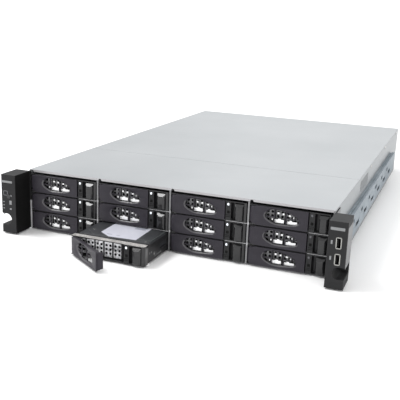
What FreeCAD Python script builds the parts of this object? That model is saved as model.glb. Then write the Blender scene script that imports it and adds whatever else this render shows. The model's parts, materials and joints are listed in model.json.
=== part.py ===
import FreeCAD, Part
import os, re
from FreeCAD import Vector, Placement, Rotation

# Rack-mount network storage unit, 2U high, twelve drive trays in four columns
# and three rows.  Millimetres, +Z up.  X runs across the front, Y from the front
# to the rear.  The origin is the centre of the chassis underside.  The pieces are
# drawn with Y = 0 at the front plane of the trays and placed half a depth forward.

os.makedirs("parts", exist_ok=True)
doc = FreeCAD.newDocument("RackStorage")

# ---------------------------------------------------------------- dimensions
VALUES = [
    ("chassis_width", 438.0), ("chassis_depth", 700.0), ("chassis_height", 88.0),
    ("half_depth", 350.0), ("half_width", 219.0), ("sheet", 1.1),
    ("col_pitch", 109.0), ("row_pitch", 27.2), ("row_first", 1.5),
    ("tray_left", 1.6), ("tray_width", 105.8), ("tray_height", 26.0), ("lip", 1.2),
    ("wall_front", 7.5), ("wall_thick", 2.0), ("rib_pitch", 13.0), ("rib_width", 2.6),
    ("rail_wall", 1.2), ("tray_depth", 168.0), ("block_left", 78.6), ("block_front", -1.0),
    ("drive_width", 101.6), ("drive_length", 147.0),
    ("drive_height", 25.4), ("drive_front", 17.5),
    ("pivot_x", 6.5), ("pivot_y", 2.2), ("hinge_radius", 5.0), ("pin_radius", 1.0),
    ("pin_bore", 1.06), ("lever_right", 77.8), ("lever_plate", 2.4), ("lever_low", 1.5),
    ("lever_high", 24.5), ("latch_left", 91.0), ("latch_right", 103.0), ("latch_back", 4.0),
    ("latch_pocket", 6.9), ("face_low", 0.4), ("face_high", 25.6),
    ("pull_out", 72.0), ("lever_open", 35.0),
    ("hem", 1.1), ("divider", 1.0), ("cage_depth", 172.0), ("cage_top", 84.6),
    ("shelf", 0.6), ("front_cover_depth", 180.0), ("cover_gap", 0.8),
    ("ear_reach", 36.0), ("ear_outer", 241.3), ("ear_inner", 218.6), ("ear_low", 1.5),
    ("ear_high", 85.5), ("notch_depth", 15.3), ("notch_radius", 8.0), ("notch_level", 21.4),
    ("flange_low", 27.0), ("flange_high", 78.0), ("flange_thick", 1.1), ("rack_hole", 232.55), ("rack_hole_radius", 3.5),
    ("usb_x", 231.6), ("usb_high_z", 59.2), ("usb_low_z", 38.8),
    ("button_x", -229.5), ("button_z", 55.0), ("button_radius", 3.2),
    ("fan_size", 80.0), ("fan_pitch", 140.0), ("fan_depth", 38.0), ("fan_front", 206.0),
    ("fan_level", 43.0), ("fan_bore", 38.0), ("hub_radius", 17.0), ("blade_tip", 36.4),
    ("psu_width", 73.5), ("psu_height", 39.0), ("psu_length", 185.0), ("psu_left", 138.0),
    ("slide_low", 24.0), ("slide_high", 57.0), ("slide_front", 32.0), ("slide_rear", 590.0),
    ("slide_inner_x", 222.4), ("slide_outer_x", 227.2), ("slide_sheet", 1.2),
]
V = dict(VALUES)
sheet = doc.addObject("Spreadsheet::Sheet", "Params")
for i, (alias, value) in enumerate(VALUES, start=1):
    sheet.set("A%d" % i, alias)
    sheet.set("B%d" % i, repr(value))
    sheet.setAlias("B%d" % i, alias)
doc.recompute()

WORD = re.compile(r"\b(" + "|".join(sorted(V, key=len, reverse=True)) + r")\b")


def bind(obj, prop, text):
    """Bind one property to an expression over the sheet's cells."""
    obj.setExpression(prop, WORD.sub(r"Params.\1", str(text)))


# ---------------------------------------------------------------- primitives
count = [0]


def fresh(stem):
    count[0] += 1
    return "%s_%03d" % (stem, count[0])


def box(x0, y0, z0, dx, dy, dz):
    b = doc.addObject("Part::Box", fresh("Block"))
    for prop, text in (("Length", dx), ("Width", dy), ("Height", dz),
                       ("Placement.Base.x", x0), ("Placement.Base.y", y0), ("Placement.Base.z", z0)):
        bind(b, prop, text)
    return b


def span(x0, x1, y0, y1, z0, z1):
    """A block between two corners."""
    return box(x0, y0, z0, "(%s) - (%s)" % (x1, x0), "(%s) - (%s)" % (y1, y0), "(%s) - (%s)" % (z1, z0))


def rod(x, y, z, radius, length, axis="Z"):
    c = doc.addObject("Part::Cylinder", fresh("Rod"))
    turn = {"Z": Rotation(), "Y": Rotation(Vector(1, 0, 0), -90), "X": Rotation(Vector(0, 1, 0), 90)}[axis]
    c.Placement = Placement(Vector(0, 0, 0), turn)
    for prop, text in (("Radius", radius), ("Height", length),
                       ("Placement.Base.x", x), ("Placement.Base.y", y), ("Placement.Base.z", z)):
        bind(c, prop, text)
    return c


def fuse(*items):
    f = doc.addObject("Part::MultiFuse", fresh("Join"))
    f.Shapes = list(items)
    f.Refine = True
    return f


def cut(base, *tools):
    tool = tools[0] if len(tools) == 1 else doc.addObject("Part::Compound", fresh("Tools"))
    if len(tools) > 1:
        tool.Links = list(tools)
    c = doc.addObject("Part::Cut", fresh("Cut"))
    c.Base, c.Tool = base, tool
    c.Refine = True
    return c


def common(a, b):
    c = doc.addObject("Part::MultiCommon", fresh("Common"))
    c.Shapes = [a, b]
    return c


PLANES = {"XY": "XY_Plane", "XZ": "XZ_Plane", "YZ": "YZ_Plane"}


def plane_of(body, role):
    return [f for f in body.Origin.OriginFeatures if f.Role == PLANES[role]][0]


def pad(stem, plane, points, start, length, arcs=None):
    """A body with one closed sketch on an origin plane, padded.

    points are (a, b) pairs of numbers or expressions over the sheet; arcs maps the
    index of an edge to the point it bulges through."""
    body = doc.addObject("PartDesign::Body", fresh(stem))
    sk = body.newObject("Sketcher::SketchObject", fresh("Profile"))
    sk.AttachmentSupport = [(plane_of(body, plane), "")]
    sk.MapMode = "FlatFace"
    sheet_value = lambda e: number(e)
    flat = [(sheet_value(a), sheet_value(b)) for a, b in points]
    n = len(flat)
    arcs = arcs or {}
    for i in range(n):
        p, q = flat[i], flat[(i + 1) % n]
        if i in arcs:
            mid = arcs[i]
            arc = Part.Arc(Vector(p[0], p[1], 0), Vector(mid[0], mid[1], 0), Vector(q[0], q[1], 0))
            sk.addGeometry(arc, False)
        else:
            sk.addGeometry(Part.LineSegment(Vector(p[0], p[1], 0), Vector(q[0], q[1], 0)), False)
    if not arcs:
        import Sketcher
        for i in range(n):
            sk.addConstraint(Sketcher.Constraint("Coincident", i, 2, (i + 1) % n, 1))
        for i, (a, b) in enumerate(points):
            for kind, e, value in (("DistanceX", a, flat[i][0]), ("DistanceY", b, flat[i][1])):
                if isinstance(e, str) and WORD.search(e):
                    k = sk.addConstraint(Sketcher.Constraint(kind, -1, 1, i, 1, value))
                    sk.setExpression("Constraints[%d]" % k, WORD.sub(r"Params.\1", e))
                else:
                    sk.addConstraint(Sketcher.Constraint(kind, -1, 1, i, 1, value))
    feature = body.newObject("PartDesign::Pad", fresh("Pad"))
    feature.Profile = sk
    bind(feature, "Length", length)
    # the XZ plane's normal is -Y and the others point along + : the pad always runs to +
    feature.Reversed = plane == "XZ"
    body.Tip = feature
    axis = {"XY": "z", "XZ": "y", "YZ": "x"}[plane]
    bind(body, "Placement.Base.%s" % axis, start)
    return body


TERM = re.compile(r"\s*([+-]?)\s*([a-z_]+|[0-9.]+)(?:\s*\*\s*([0-9.]+))?")


def number(e):
    """The value of a sum of cells and numbers, such as 'tray_left + 2*sheet' written as
    'tray_left + sheet*2'."""
    if not isinstance(e, str):
        return float(e)
    total, at = 0.0, 0
    while at < len(e.strip()):
        m = TERM.match(e.strip(), at)
        sign = -1.0 if m.group(1) == "-" else 1.0
        word = m.group(2)
        value = V[word] if word in V else float(word)
        total += sign * value * (float(m.group(3)) if m.group(3) else 1.0)
        at = m.end()
    return total


NODES = []


def node(name, parts, x=0, y="-half_depth", z=0, turn=None):
    """One exported sub-part: a group of the finished pieces, placed in the unit."""
    g = doc.addObject("Part::Compound", name)
    g.Label = name
    g.Links = parts if isinstance(parts, list) else [parts]
    if turn:
        g.Placement = Placement(Vector(0, 0, 0), turn)
    for prop, text in (("Placement.Base.x", x), ("Placement.Base.y", y), ("Placement.Base.z", z)):
        bind(g, prop, text)
    NODES.append(g)
    return g


# ---------------------------------------------------------------- drive tray
# Drawn once: x from the divider on its left, y from the front plane, z from its underside.
tray_right = "tray_left + tray_width"
lip_points = [("tray_left", 0), ("block_left", 0), ("block_left", "block_front"),
              (103.4, "block_front"), (107.4, 3.0), (107.4, 9.5), ("tray_left", 9.5)]
arc_mid = (106.228, 0.172)
lip_low = pad("TrayLipLow", "XY", lip_points, 0, "lip", arcs={3: arc_mid})
lip_high = pad("TrayLipHigh", "XY", lip_points, "tray_height - lip", "lip", arcs={3: arc_mid})
block_points = [("block_left", "block_front"), (85.6, "block_front"), (86.2, 3.2), (87.6, 5.0),
                (90.6, 5.0), (90.6, "latch_pocket"), (103.4, "latch_pocket"), (103.4, "block_front"),
                (107.4, 3.0), (107.4, 9.5), ("block_left", 9.5)]
block = pad("TrayBlock", "XY", block_points, 0, "tray_height", arcs={7: arc_mid})
front_wall = span("tray_left + 0.8", "block_left", "wall_front", "wall_front + wall_thick", 0.6, "tray_height - 0.6")
windows = [span("9.3 + rib_pitch*%d" % k, "9.3 + rib_pitch*%d - rib_width + rib_pitch" % k,
                "wall_front - 1", "wall_front + wall_thick + 1", 3.5, 22.5) for k in range(5)]
left_rail = span("tray_left + 0.8", "tray_left + 0.8 + rail_wall", "wall_front", "tray_depth", 0.6, 24.0)
right_rail = span("105.4", "105.4 + rail_wall", "wall_front", "tray_depth", 0.6, 24.0)
rear_bar = span("tray_left + 0.8", "105.4 + rail_wall", "tray_depth - 1.8", "tray_depth", 18.0, 24.0)
slots = [span(0, 109, 48 + 40 * k, 72 + 40 * k, 9.5, 16.5) for k in range(3)]
carrier = cut(fuse(lip_low, lip_high, block, cut(front_wall, *windows), left_rail, right_rail, rear_bar),
              rod("pivot_x", "pivot_y", -1, "pin_bore", "tray_height + 2"), *slots)

mesh = span(5.0, 77.0, "wall_front + wall_thick", "wall_front + wall_thick + 0.4", 1.8, 24.2)

drive_block = span("54.5 - drive_width/2", "54.5 + drive_width/2", "drive_front", "drive_front + drive_length",
                   0.4, "0.4 + drive_height")
drive = cut(drive_block,
            span(14, 95, "drive_front + drive_length - 1.5", "drive_front + drive_length + 1", 5.0, 11.0),
            span(0, "54.5 - drive_width/2 + 2.2", "drive_front + 20", "drive_front + 118", "drive_height - 5", 30),
            span("54.5 + drive_width/2 - 2.2", 109, "drive_front + 20", "drive_front + 118", "drive_height - 5", 30))
tray_screws = [rod(x, y, 6.8, 3.0, 0.4, "X") for x in ("105.4 + rail_wall", "tray_left + 0.4") for y in (34.0, 136.0)]

# Lever: a front plate with rims, a round hinge end on its own pin and a return lip.
plate = pad("LeverPlate", "XY",
            [("pivot_x", "pivot_y - hinge_radius"), ("lever_right", "pivot_y - hinge_radius"),
             ("lever_right", 7.2), ("lever_right - 1.8", 7.2), ("lever_right - 1.8", "pivot_y - hinge_radius + lever_plate"),
             ("pivot_x", "pivot_y - hinge_radius + lever_plate")], "lever_low", "lever_high - lever_low")
boss = rod("pivot_x", "pivot_y", "lever_low", "hinge_radius", "lever_high - lever_low")
rim_low = span("pivot_x", "lever_right", "pivot_y - hinge_radius", 3.5, "lever_low", "lever_low + 1.4")
rim_high = span("pivot_x", "lever_right", "pivot_y - hinge_radius", 3.5, "lever_high - 1.4", "lever_high")
face = span("pivot_x + 3", "lever_right", "pivot_y - hinge_radius", "pivot_y - hinge_radius + lever_plate", "face_low", "face_high")
pin = rod("pivot_x", "pivot_y", 0.2, "pin_radius", "tray_height - 0.4")
leaf = pad("LeverWindow", "XZ", [(22.3, 14.0), (23.8, 18.2), (27.0, 21.3), (31.5, 22.9), (38.0, 23.0), (45.5, 22.1), (53.7, 20.0),
                                 (60.8, 17.2), (64.4, 14.4), (65.6, 11.2), (64.8, 7.9), (61.0, 6.3), (51.5, 5.4), (42.0, 5.1),
                                 (35.4, 5.4), (28.8, 7.6), (24.2, 10.6)], -6, 10)
bars = [span(18, 70, -2.2, -0.4, 13.0, 14.2), span(33.7, 35.1, -2.2, -0.4, 3, 24), span(49.1, 50.5, -2.2, -0.4, 3, 24)]
lever_frame = cut(fuse(plate, face, boss, rim_low, rim_high, pin),
                  leaf)
grille = common(fuse(*bars), leaf)
lever = fuse(lever_frame, grille)

latch = pad("LatchButton", "XY",
            [("latch_left", -0.8), ("latch_right", -0.8), ("latch_right", "latch_back"), ("latch_left", "latch_back")],
            1.5, 23.0, arcs={0: (97.0, -4.2)})

# ---------------------------------------------------------------- the twelve bays
OPEN = (0, 1)  # bottom row, second column
for r in range(3):
    for c in range(4):
        tag = "r%dc%d" % (r + 1, c + 1)
        x = "col_pitch*%d" % (c - 2)
        z = "row_first + row_pitch*%d" % r
        if (r, c) == OPEN:
            out = "-half_depth - pull_out"
            node("tray_carrier", carrier, x, out, z)
            node("tray_mesh", mesh, x, out, z)
            node("tray_drive", [drive] + tray_screws, x, out, z)
            node("tray_latch", latch, x, out, z)
            swung = node("tray_lever", lever, 0, 0, 0, Rotation(Vector(0, 0, 1), -V["lever_open"]))
            # the lever turns about its pin: its place is the pin less the turned offset
            bind(swung, "Placement.Base.x",
                 "col_pitch*-1 + pivot_x - (pivot_x * cos(lever_open*1deg) + pivot_y * sin(lever_open*1deg))")
            bind(swung, "Placement.Base.y",
                 "-half_depth - pull_out + pivot_y - (-pivot_x * sin(lever_open*1deg) + pivot_y * cos(lever_open*1deg))")
            bind(swung, "Placement.Base.z", z)
        else:
            node("tray_" + tag, [carrier, mesh, drive] + tray_screws, x, "-half_depth", z)
            node("lever_" + tag, lever, x, "-half_depth", z)
            node("latch_" + tag, latch, x, "-half_depth", z)

# ---------------------------------------------------------------- chassis
floor = span("-half_width", "half_width", 0, "chassis_depth", 0, "sheet")
sides = [span("-half_width", "-half_width + sheet", 0, "chassis_depth", 0, "chassis_height - sheet"),
         span("half_width - sheet", "half_width", 0, "chassis_depth", 0, "chassis_height - sheet")]
hems = [span("-half_width", "-half_width + hem*2 - 0.1", 0, "sheet", 0, "chassis_height - sheet"),
        span("half_width - hem*2 + 0.1", "half_width", 0, "sheet", 0, "chassis_height - sheet")]
rear = span("-half_width", "half_width", "chassis_depth - sheet", "chassis_depth", 0, "chassis_height - sheet")
psu_hole = span("psu_left - 0.8", "psu_left + psu_width + 0.8", "chassis_depth - 3", "chassis_depth + 2", "sheet", 83.2)
io_hole = span(-150.0, 8.8, "chassis_depth - 3", "chassis_depth + 2", 12.0, 56.5)
slot_holes = [span(26.0 + 24 * k, 38.0 + 24 * k, "chassis_depth - 3", "chassis_depth + 2", 8.0, 72.0) for k in range(4)]
side_vents = [span("-half_width - 2", "half_width + 2", 199.0 + 7.8 * k, 203.5 + 7.8 * k, 64.0, 81.0) for k in range(10)]
rear_vents = [span(-208.0 + 9 * k, -202.5 + 9 * k, "chassis_depth - 3", "chassis_depth + 2", 14.0, 74.0) for k in range(6)] + \
             [span(-148.0 + 9 * k, -142.5 + 9 * k, "chassis_depth - 3", "chassis_depth + 2", 62.0, 78.0) for k in range(17)]
base = cut(fuse(floor, *(sides + hems + [rear])), psu_hole, io_hole, *(slot_holes + side_vents + rear_vents))
node("chassis_base", base)

top1 = span("-half_width", "half_width", 0, "front_cover_depth", "chassis_height - sheet", "chassis_height")
lip1 = span("-half_width + 2.2", "half_width - 2.2", 0, "sheet", 84.9, "chassis_height - sheet")
flange1 = [span("-half_width + 1.4", "-half_width + 2.3", "sheet", "front_cover_depth - 2", 82.6, "chassis_height - sheet"),
           span("half_width - 2.3", "half_width - 1.4", "sheet", "front_cover_depth - 2", 82.6, "chassis_height - sheet")]
bites = [rod("col_pitch*%d + 3.6" % k, -1, 85.2, 2.3, 3, "Y") for k in (-2, -1, 0, 1)]
node("front_cover", cut(fuse(top1, lip1, *flange1), *bites))

top2 = span("-half_width", "half_width", "front_cover_depth + cover_gap", "chassis_depth - 0.2",
            "chassis_height - sheet", "chassis_height")
flange2 = [span("-half_width + 1.4", "-half_width + 2.3", "front_cover_depth + 4", "chassis_depth - 4", 82.6, "chassis_height - sheet"),
           span("half_width - 2.3", "half_width - 1.4", "front_cover_depth + 4", "chassis_depth - 4", 82.6, "chassis_height - sheet")]
node("rear_cover", fuse(top2, *(flange2 + [span("-half_width + 3", "half_width - 3", "front_cover_depth + 1", "front_cover_depth + 6",
                                               "chassis_height - sheet*2", "chassis_height - sheet")])))

# Drive cage: three dividers with folded front edges, and shelf plates between them.
dividers = [fuse(span("col_pitch*%d - divider/2" % k, "col_pitch*%d + divider/2" % k, 0.6, "cage_depth", "sheet", "cage_top"),
                 span("col_pitch*%d - hem" % k, "col_pitch*%d + hem" % k, 0, 1.2, "sheet", "cage_top")) for k in (-1, 0, 1)]
shelves = []
for r in (1, 2):
    for c in range(4):
        x0 = "-half_width + sheet" if c == 0 else "col_pitch*%d + divider/2" % (c - 2)
        x1 = "half_width - sheet" if c == 3 else "col_pitch*%d - divider/2" % (c - 1)
        shelves.append(span(x0, x1, 1.6, "cage_depth", "row_first + row_pitch*%d - 0.9" % r, "row_first + row_pitch*%d - 0.9 + shelf" % r))
node("drive_cage", dividers + shelves)

# Backplane with a drive connector behind each bay and openings for air.
board = span("-half_width + 3", "half_width - 3", 176.0, 177.8, 2.0, 82.0)
air = [span("col_pitch*%d + 60 + 16*%d" % (c - 2, k), "col_pitch*%d + 70 + 16*%d" % (c - 2, k), 174, 180,
            "row_first + row_pitch*%d + 3" % r, "row_first + row_pitch*%d + 22" % r)
       for c in range(4) for r in range(3) for k in range(3)]
sockets = [span("col_pitch*%d + 12" % (c - 2), "col_pitch*%d + 54" % (c - 2), 165.0, 176.0,
                "row_first + row_pitch*%d + 5.6" % r, "row_first + row_pitch*%d + 10.4" % r)
           for c in range(4) for r in range(3)]
node("backplane", [cut(board, *air)] + sockets)

# Fan wall: three framed fans; each rotor turns on the boss of its frame.
fx = ["fan_pitch*%d" % k for k in (-1, 0, 1)]
fan_plate = span("-half_width + 3", "half_width - 3", "fan_front - 1.5", "fan_front", "sheet", 84.0)
frames = [span(x + " - fan_size/2", x + " + fan_size/2", "fan_front", "fan_front + fan_depth",
               "fan_level - fan_size/2", "fan_level + fan_size/2") for x in fx]
bores = [rod(x, "fan_front - 3", "fan_level", "fan_bore", "fan_depth + 8", "Y") for x in fx]
motors = [rod(x, "fan_front + fan_depth - 4", "fan_level", "hub_radius - 1", 4, "Y") for x in fx]
shafts = [rod(x, "fan_front + 8", "fan_level", 1.5, "fan_depth - 10", "Y") for x in fx]
struts = []
for x in fx:
    struts.append(span(x + " - fan_bore - 0.5", x + " + fan_bore + 0.5", "fan_front + fan_depth - 3", "fan_front + fan_depth",
                       "fan_level - 1.5", "fan_level + 1.5"))
    struts.append(span(x + " - 1.5", x + " + 1.5", "fan_front + fan_depth - 3", "fan_front + fan_depth",
                       "fan_level - fan_bore - 0.5", "fan_level + fan_bore + 0.5"))
fan_body = cut(fuse(fan_plate, *frames), *bores)
node("fan_wall", fuse(fan_body, *(motors + shafts + struts)))

hub = rod(0, 0, 0, "hub_radius", 24, "Y")
blades = []
for k in range(7):
    b = box(-9, 0, 0, 18, 1.6, "blade_tip - 3")
    b.Placement = Placement(Vector(0, 12, 0), Rotation(Vector(0, 1, 0), 360.0 * k / 7) *
                            Rotation(Vector(0, 0, 1), 38))
    b.setExpression("Placement.Base.x", None)
    b.setExpression("Placement.Base.y", None)
    b.setExpression("Placement.Base.z", None)
    b.Placement = Placement(b.Placement.Rotation.multVec(Vector(-9, -0.8, 0)) + Vector(0, 12, 0), b.Placement.Rotation)
    blades.append(b)
swept = common(fuse(*blades), rod(0, 0, 0, "blade_tip", 24, "Y"))
rotor = cut(fuse(hub, swept), rod(0, -1, 0, 1.56, 28, "Y"))
for k in range(3):
    node("fan_rotor_%d" % (k + 1), rotor, "fan_pitch*%d" % (k - 1), "fan_front + 9 - half_depth", "fan_level")

# Main board with memory modules and port shells, and the processor heatsink.
pcb = span(-165, 95, 330, 692, 7.0, 8.6)
stands = [rod(x, y, "sheet", 2.5, "7.0 - sheet") for x in (-155, -40, 85) for y in (340, 510, 682)]
dimms = [span(-150 + 12 * k, -146.5 + 12 * k, 400, 533, 8.6, 40.0) for k in range(4)] + \
        [span(30 + 12 * k, 33.5 + 12 * k, 400, 533, 8.6, 40.0) for k in range(4)]
ports = cut(span(-148, 6.8, 686, 698.4, 13.2, 55.3), *[span(a, b, 690, 700, c, d) for a, b, c, d in (
    (-144, -130, 16, 44), (-124, -109, 16, 22.5), (-124, -109, 26, 32.5), (-102, -86, 16, 29), (-102, -86, 34, 47),
    (-79, -63, 16, 29), (-79, -63, 34, 47), (-55, -25, 16, 27), (-55, -25, 34, 45))])
port_feet = span(-146, 5, 680, 690, 8.6, 14.0)
node("motherboard", [pcb] + stands + dimms + [fuse(ports, port_feet)])
sink_base = span(-85, 5, 415, 515, 10.6, 15.6)
sink_fins = [span(-85 + 4.5 * k, -83.8 + 4.5 * k, 415, 515, 15.0, 62.0) for k in range(20)]
sink_last = span(3.8, 5, 415, 515, 15.0, 62.0)
socket = span(-70, -10, 435, 495, 8.6, 10.6)
node("cpu_heatsink", fuse(sink_base, socket, sink_last, *sink_fins))

# Two hot-swap supplies, one above the other, with power inlets and bail handles.
psu_box = span("psu_left", "psu_left + psu_width", "chassis_depth - psu_length", "chassis_depth + 1", 0, "psu_height")
inlet = span("psu_left + 44", "psu_left + 68", "chassis_depth - 14", "chassis_depth + 3", 10, 28)
vents = [span("psu_left + 4 + 5.2*%d" % k, "psu_left + 7.6 + 5.2*%d" % k, "chassis_depth - 3", "chassis_depth + 3", 5, "psu_height - 5")
         for k in range(5)]
prongs = [span("psu_left + %s" % x, "psu_left + %s + 1.6" % x, "chassis_depth - 14", "chassis_depth - 3", 17.2, 20.8) for x in (49, 55.2, 61.4)]
handle_out = span("psu_left + 31", "psu_left + 41", "chassis_depth + 1", "chassis_depth + 21", 3, "psu_height - 3")
handle_in = span("psu_left + 30", "psu_left + 42", "chassis_depth + 1", "chassis_depth + 17.5", 7, "psu_height - 7")
psu = fuse(cut(psu_box, inlet, *vents), cut(handle_out, handle_in), *prongs)
node("psu_1", psu, 0, "-half_depth", 2.2)
node("psu_2", psu, 0, "-half_depth", 43.4)

# ---------------------------------------------------------------- ears
def bracket(sign):
    """Steel ear: a side leg on the chassis, a flange behind the housing and an outer tab."""
    lo, hi = ("ear_inner", "ear_outer")
    pieces = []
    for a, b, y0, y1, z0, z1 in ((lo + " + 0.4", hi, -2, 0, "ear_low", "ear_high"),
                                 ("half_width", "half_width + 1.4", -1, 26, "ear_low", "ear_high"),
                                 (hi + " - flange_thick", hi, "-ear_reach + 3", -1, "flange_low", "flange_high")):
        if sign > 0:
            pieces.append(span(a, b, y0, y1, z0, z1))
        else:
            pieces.append(span("-(%s)" % b, "-(%s)" % a, y0, y1, z0, z1))
    # the rack screw passes through the plate behind the housing's open notch
    bite = rod("%d*rack_hole" % sign, -5, "notch_level", "rack_hole_radius", 10, "Y")
    return cut(fuse(*pieces), bite)


node("ear_brackets", [bracket(-1), bracket(1)])


def housing(sign, holes):
    lo, hi = "ear_inner", "ear_outer"
    rng = lambda a, b: (a, b) if sign > 0 else ("-(%s)" % b, "-(%s)" % a)
    x0, x1 = rng(lo, hi)
    shell = span(x0, x1, "-ear_reach", -2, "ear_low", "ear_high")
    x0, x1 = rng(lo + " + 1.8", hi + " - 3")
    hollow = span(x0, x1, "-ear_reach + 2.4", -1, "notch_level + notch_radius + 2", "ear_high - 2")
    x0, x1 = rng(hi + " - flange_thick", hi + " + 1")
    seat = span(x0, x1, "-ear_reach + 3", -1, "flange_low", "flange_high")
    bite = fuse(rod("%d*(ear_outer - notch_depth + notch_radius)" % sign, "-ear_reach - 2", "notch_level", "notch_radius", 60, "Y"),
                span("(ear_outer - notch_depth + notch_radius)" if sign > 0 else "-ear_outer - 2",
                     "ear_outer + 2" if sign > 0 else "-(ear_outer - notch_depth + notch_radius)", "-ear_reach - 2", 5,
                     "notch_level - notch_radius", "notch_level + notch_radius"))
    return cut(shell, hollow, seat, bite, *holes)


node("left_ear_housing", housing(-1, [rod("button_x", "-ear_reach - 1", "button_z", "button_radius + 0.4", 5, "Y")]))
usb_holes = [span("usb_x - 3.1", "usb_x + 3.1", "-ear_reach - 1", "-ear_reach + 17", z + " - 6.8", z + " + 6.8")
             for z in ("usb_high_z", "usb_low_z")]
node("right_ear_housing", housing(1, usb_holes))
button = fuse(rod("button_x", "-ear_reach - 0.8", "button_z", "button_radius", 6, "Y"),
              rod("button_x", "-ear_reach + 2.8", "button_z", "button_radius + 1", 2.4, "Y"))
node("power_button", button)
usb = []
for z in ("usb_high_z", "usb_low_z"):
    shell = cut(span("usb_x - 2.85", "usb_x + 2.85", "-ear_reach - 0.3", "-ear_reach + 15", z + " - 6.55", z + " + 6.55"),
                span("usb_x - 2.45", "usb_x + 2.45", "-ear_reach - 1", "-ear_reach + 13.5", z + " - 6.15", z + " + 6.15"))
    usb.append(fuse(shell, span("usb_x - 1.9", "usb_x - 0.2", "-ear_reach + 1.5", "-ear_reach + 14", z + " - 5.5", z + " + 5.5")))
usb_board = span("usb_x - 6", "usb_x + 4.6", "-ear_reach + 15", "-ear_reach + 16.6", "usb_low_z - 5.5", "usb_high_z + 12")
node("usb_ports", [fuse(usb_board, *usb)])

# ---------------------------------------------------------------- slides
def member(sign, web0, web1, fl0, fl1, y0, y1, slots_at):
    def s(a, b, *rest):
        return span(a, b, *rest) if sign > 0 else span("-(%s)" % b, "-(%s)" % a, *rest)
    web = s(web0, web1, y0, y1, "slide_low", "slide_high")
    low = s(fl0, fl1, y0, y1, "slide_low", "slide_low + slide_sheet")
    high = s(fl0, fl1, y0, y1, "slide_high - slide_sheet", "slide_high")
    windows = [s(web0 + " - 1", web1 + " + 1", a, b, c, d) for a, b, c, d in slots_at]
    return cut(fuse(web, low, high), *windows)


inner_slots = [(70 + 90 * k, 100 + 90 * k, 36, 45) for k in range(6)]
outer_slots = [(52 + 74 * k, 82 + 74 * k, 32, 38) for k in range(7)] + [(96 + 74 * k, 112 + 74 * k, 43, 49) for k in range(6)]
inner = [member(sg, "half_width", "half_width + slide_sheet", "half_width", "slide_inner_x",
                "slide_front", "slide_rear - 6", inner_slots) for sg in (-1, 1)]
node("slide_inner_members", inner)
for sg, side in ((-1, "left"), (1, "right")):
    node("slide_outer_" + side, member(sg, "slide_outer_x - slide_sheet", "slide_outer_x", "slide_inner_x + 0.5", "slide_outer_x",
                                       "slide_front + 8", "slide_rear", outer_slots))

# ---------------------------------------------------------------- screws
heads = []
for sg in (-1, 1):
    for y, z in ((13.0, 12.0), (13.0, 46.0), (13.0, 76.0)):
        x = "half_width + 1.4" if sg > 0 else "-half_width - 1.4 - 1.3"
        heads.append(rod(x, y, z, 3.2, 1.3, "X"))
    for y in (300.0, 480.0, 660.0):
        x = "half_width" if sg > 0 else "-half_width - 1.0"
        heads.append(rod(x, y, 84.2, 2.3, 1.0, "X"))
for x, z in ((-205.0, 82.0), (-70.0, 82.0), (60.0, 82.0), (-205.0, 7.0), (20.0, 5.0), (110.0, 5.0)):
    heads.append(rod(x, "chassis_depth", z, 3.0, 1.3, "Y"))
node("chassis_screws", heads)

# ---------------------------------------------------------------- check and export
doc.recompute()
bad = [o.Name + " " + ",".join(o.State) for o in doc.Objects if any(s in ("Invalid", "Error") for s in o.State)]
if bad:
    raise SystemExit("failed objects: " + "; ".join(bad))
for g in NODES:
    shape = g.Shape
    if shape.isNull() or not shape.isValid():
        raise SystemExit("bad shape: " + g.Label)
    for sld in shape.Solids:
        if sld.Volume <= 0:
            raise SystemExit("empty solid in " + g.Label)
if len(NODES) > 60:
    raise SystemExit("too many nodes: %d" % len(NODES))
for g in NODES:
    g.Shape.exportStep("parts/%s.step" % g.Label)
    b = g.Shape.BoundBox
    print("%-22s solids %3d faces %4d vol %9.1f  x %.1f..%.1f y %.1f..%.1f z %.1f..%.1f" % (
        g.Label, len(g.Shape.Solids), len(g.Shape.Faces), g.Shape.Volume / 1000.0, b.XMin, b.XMax, b.YMin, b.YMax, b.ZMin, b.ZMax))
print("nodes", len(NODES))
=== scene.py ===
import json
import math
import random

import bmesh
import bpy
from mathutils import Matrix, Vector


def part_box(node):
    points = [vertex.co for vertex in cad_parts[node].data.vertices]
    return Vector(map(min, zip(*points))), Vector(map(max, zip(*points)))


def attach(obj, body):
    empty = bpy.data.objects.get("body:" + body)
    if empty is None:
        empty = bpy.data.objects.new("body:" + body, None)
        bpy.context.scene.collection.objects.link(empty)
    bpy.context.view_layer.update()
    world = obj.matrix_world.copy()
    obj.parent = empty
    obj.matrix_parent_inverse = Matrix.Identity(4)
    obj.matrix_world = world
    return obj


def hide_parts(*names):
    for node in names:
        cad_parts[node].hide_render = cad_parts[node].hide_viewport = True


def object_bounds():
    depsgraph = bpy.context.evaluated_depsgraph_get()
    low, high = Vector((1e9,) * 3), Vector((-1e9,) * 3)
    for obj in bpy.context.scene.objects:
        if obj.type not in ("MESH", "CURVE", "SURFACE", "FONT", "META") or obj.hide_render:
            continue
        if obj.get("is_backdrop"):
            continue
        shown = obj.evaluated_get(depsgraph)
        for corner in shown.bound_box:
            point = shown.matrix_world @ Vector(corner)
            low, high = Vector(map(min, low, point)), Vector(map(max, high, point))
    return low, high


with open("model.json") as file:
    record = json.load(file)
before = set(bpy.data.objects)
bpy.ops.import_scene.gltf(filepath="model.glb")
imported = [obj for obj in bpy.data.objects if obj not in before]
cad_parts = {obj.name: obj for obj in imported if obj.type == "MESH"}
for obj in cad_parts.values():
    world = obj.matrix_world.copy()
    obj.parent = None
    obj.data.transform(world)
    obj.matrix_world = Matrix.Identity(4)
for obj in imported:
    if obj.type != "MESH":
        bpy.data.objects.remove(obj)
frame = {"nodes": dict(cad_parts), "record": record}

LO0, HI0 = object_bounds()
MM = 0.001
NODES = frame["nodes"]
RECORD = frame["record"]
JOINTS = {j["name"]: j for j in RECORD["behaviour"]["joints"]}
BODIES = RECORD["behaviour"]["bodies"]


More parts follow.
